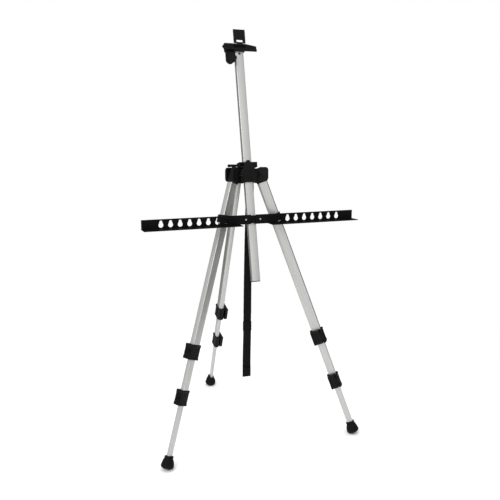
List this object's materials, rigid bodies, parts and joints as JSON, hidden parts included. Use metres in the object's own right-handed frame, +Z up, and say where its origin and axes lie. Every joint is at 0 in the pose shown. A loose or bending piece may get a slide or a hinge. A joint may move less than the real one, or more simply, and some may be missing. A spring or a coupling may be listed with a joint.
{
  "type": "tripod field easel",
  "caption": "Folding three-legged field easel with telescoping legs, a leaning mast with a canvas clamp on top and a slotted canvas bar hung on the front legs.",
  "frame": {"origin": "middle of the footprint of the whole stand, on the floor, legs and mast as set up", "axes": "+X to the painter's right, -Y towards the painter, +Z up"},
  "size_m": [0.528, 0.4521, 0.9802],
  "materials": {
    "hub_plastic": "fine-textured black moulding",
    "clamp_plastic": "fine-textured black moulding",
    "collar_plastic": "satin black moulding",
    "lever_plastic": "satin black moulding, smoother than the collars",
    "insert_plastic": "plain black moulding",
    "webbing": "woven black nylon webbing",
    "aluminium_tube": "clear anodised drawn tube",
    "foot_rubber": "matt black rubber",
    "black_steel": "satin black powder coat",
    "zinc_steel": "bright zinc plate"
  },
  "bodies": {
    "hub": {"hub_body": "hub_plastic", "hub_cover": "hub_plastic", "cover_screws": "zinc_steel", "leg_bolts": "zinc_steel", "leg_strap": "webbing"},
    "mast_clamp": {"mast_head": "hub_plastic", "tilt_bolts": "zinc_steel", "lever_pin": "zinc_steel"},
    "mast_lock": {"mast_lever": "lever_plastic"},
    "mast": {"mast_tube": "aluminium_tube", "mast_end_cap": "clamp_plastic", "top_bracket": "clamp_plastic", "canvas_wing": "clamp_plastic"},
    "tab": {"canvas_tab": "clamp_plastic"},
    "knob": {"clamp_knob": "clamp_plastic"},
    "bar": {"bar_link": "black_steel", "bar_rivets": "zinc_steel"},
    "left_arm": {"left_bar_arm": "black_steel"},
    "right_arm": {"right_bar_arm": "black_steel"},
    "left_upper": {"left_leg_plug": "insert_plastic", "left_upper_tube": "aluminium_tube", "left_upper_collar": "collar_plastic", "left_upper_pin": "zinc_steel", "left_peg_bracket": "collar_plastic"},
    "left_upper_lock": {"left_upper_lever": "lever_plastic"},
    "left_mid": {"left_mid_shoe": "insert_plastic", "left_mid_tube": "aluminium_tube", "left_lower_collar": "collar_plastic", "left_lower_pin": "zinc_steel"},
    "left_lower_lock": {"left_lower_lever": "lever_plastic"},
    "left_lower": {"left_lower_shoe": "insert_plastic", "left_lower_tube": "aluminium_tube", "left_foot": "foot_rubber"},
    "right_upper": {"right_leg_plug": "insert_plastic", "right_upper_tube": "aluminium_tube", "right_upper_collar": "collar_plastic", "right_upper_pin": "zinc_steel", "right_peg_bracket": "collar_plastic"},
    "right_upper_lock": {"right_upper_lever": "lever_plastic"},
    "right_mid": {"right_mid_shoe": "insert_plastic", "right_mid_tube": "aluminium_tube", "right_lower_collar": "collar_plastic", "right_lower_pin": "zinc_steel"},
    "right_lower_lock": {"right_lower_lever": "lever_plastic"},
    "right_lower": {"right_lower_shoe": "insert_plastic", "right_lower_tube": "aluminium_tube", "right_foot": "foot_rubber"},
    "rear_upper": {"rear_leg_plug": "insert_plastic", "rear_upper_tube": "aluminium_tube", "rear_upper_collar": "collar_plastic", "rear_upper_pin": "zinc_steel"},
    "rear_upper_lock": {"rear_upper_lever": "lever_plastic"},
    "rear_mid": {"rear_mid_shoe": "insert_plastic", "rear_mid_tube": "aluminium_tube", "rear_lower_collar": "collar_plastic", "rear_lower_pin": "zinc_steel"},
    "rear_lower_lock": {"rear_lower_lever": "lever_plastic"},
    "rear_lower": {"rear_lower_shoe": "insert_plastic", "rear_lower_tube": "aluminium_tube", "rear_foot": "foot_rubber"}
  },
  "joints": [
    {"name": "left_leg_swing", "type": "hinge", "parent": "hub", "child": "left_upper", "pos_m": [-0.03118, -0.09188, 0.645], "axis": [0.5, -0.866, 0], "range_deg": [0, 20.6]},
    {"name": "left_mid_slide", "type": "slide", "parent": "left_upper", "child": "left_mid", "axis": [0.3047, 0.1759, 0.9361], "range_m": [-0.235, 0.069]},
    {"name": "left_lower_slide", "type": "slide", "parent": "left_mid", "child": "left_lower", "axis": [0.3047, 0.1759, 0.9361], "range_m": [-0.21204, 0.10646]},
    {"name": "left_upper_lock_flip", "type": "hinge", "parent": "left_upper", "child": "left_upper_lock", "pos_m": [-0.17616, -0.16018, 0.25421], "axis": [0.3047, 0.1759, 0.9361], "range_deg": [0, 100]},
    {"name": "left_lower_lock_flip", "type": "hinge", "parent": "left_mid", "child": "left_lower_lock", "pos_m": [-0.20526, -0.17899, 0.15504], "axis": [0.3047, 0.1759, 0.9361], "range_deg": [0, 100]},
    {"name": "right_leg_swing", "type": "hinge", "parent": "hub", "child": "right_upper", "pos_m": [0.03118, -0.09188, 0.645], "axis": [0.5, 0.866, 0], "range_deg": [0, 20.6]},
    {"name": "right_mid_slide", "type": "slide", "parent": "right_upper", "child": "right_mid", "axis": [-0.3047, 0.1759, 0.9361], "range_m": [-0.22, 0.084]},
    {"name": "right_lower_slide", "type": "slide", "parent": "right_mid", "child": "right_lower", "axis": [-0.3047, 0.1759, 0.9361], "range_m": [-0.22704, 0.09146]},
    {"name": "right_upper_lock_flip", "type": "hinge", "parent": "right_upper", "child": "right_upper_lock", "pos_m": [0.16281, -0.1833, 0.25421], "axis": [-0.3047, 0.1759, 0.9361], "range_deg": [0, 100]},
    {"name": "right_lower_lock_flip", "type": "hinge", "parent": "right_mid", "child": "right_lower_lock", "pos_m": [0.19823, -0.20172, 0.141], "axis": [-0.3047, 0.1759, 0.9361], "range_deg": [0, 100]},
    {"name": "rear_leg_swing", "type": "hinge", "parent": "hub", "child": "rear_upper", "pos_m": [0, -0.03788, 0.645], "axis": [-1, 0, 0], "range_deg": [0, 21.4]},
    {"name": "rear_mid_slide", "type": "slide", "parent": "rear_upper", "child": "rear_mid", "axis": [0, -0.3649, 0.9311], "range_m": [-0.24, 0.064]},
    {"name": "rear_lower_slide", "type": "slide", "parent": "rear_mid", "child": "rear_lower", "axis": [0, -0.3649, 0.9311], "range_m": [-0.20353, 0.11497]},
    {"name": "rear_upper_lock_flip", "type": "hinge", "parent": "rear_upper", "child": "rear_upper_lock", "pos_m": [0.01335, 0.12727, 0.25647], "axis": [0, -0.3649, 0.9311], "range_deg": [0, 100]},
    {"name": "rear_lower_lock_flip", "type": "hinge", "parent": "rear_mid", "child": "rear_lower_lock", "pos_m": [0.0116, 0.16143, 0.16245], "axis": [0, -0.3649, 0.9311], "range_deg": [0, 100]},
    {"name": "mast_tilt", "type": "hinge", "parent": "hub", "child": "mast_clamp", "pos_m": [0, -0.1003, 0.64581], "axis": [1, 0, 0], "range_deg": [0, 11.7]},
    {"name": "mast_slide", "type": "slide", "parent": "mast_clamp", "child": "mast", "axis": [0, 0.2028, 0.9792], "range_m": [-0.225, 0.22]},
    {"name": "mast_lock_turn", "type": "hinge", "parent": "mast_clamp", "child": "mast_lock", "pos_m": [-0.018, -0.09104, 0.66585], "axis": [0, 0.2028, 0.9792], "range_deg": [0, 70]},
    {"name": "canvas_tab_flip", "type": "hinge", "parent": "mast", "child": "tab", "pos_m": [0, -0.04657, 0.94473], "axis": [1, 0, 0], "range_deg": [0, 90]},
    {"name": "clamp_knob_turn", "type": "hinge", "parent": "mast", "child": "knob", "pos_m": [-0.023, -0.04143, 0.91037], "axis": [0, -0.9792, 0.2028], "continuous": true},
    {"name": "bar_lift", "type": "slide", "parent": "hub", "child": "bar", "axis": [0, -0.7071, 0.7071], "range_m": [0, 0.0816]},
    {"name": "left_arm_fold", "type": "hinge", "parent": "bar", "child": "left_arm", "pos_m": [-0.018, -0.13203, 0.543], "axis": [0, -1, 0], "range_deg": [0, 90]},
    {"name": "right_arm_fold", "type": "hinge", "parent": "bar", "child": "right_arm", "pos_m": [0.018, -0.13203, 0.543], "axis": [0, 1, 0], "range_deg": [0, 90]}
  ],
  "couplings": [
    {"joint": "right_leg_swing", "follows": "left_leg_swing", "ratio": 1},
    {"joint": "bar_lift", "follows": "left_leg_swing", "m_per_rad": 0.22696},
    {"joint": "left_arm_fold", "follows": "left_leg_swing", "ratio": 4.3689},
    {"joint": "right_arm_fold", "follows": "left_leg_swing", "ratio": 4.3689}
  ]
}
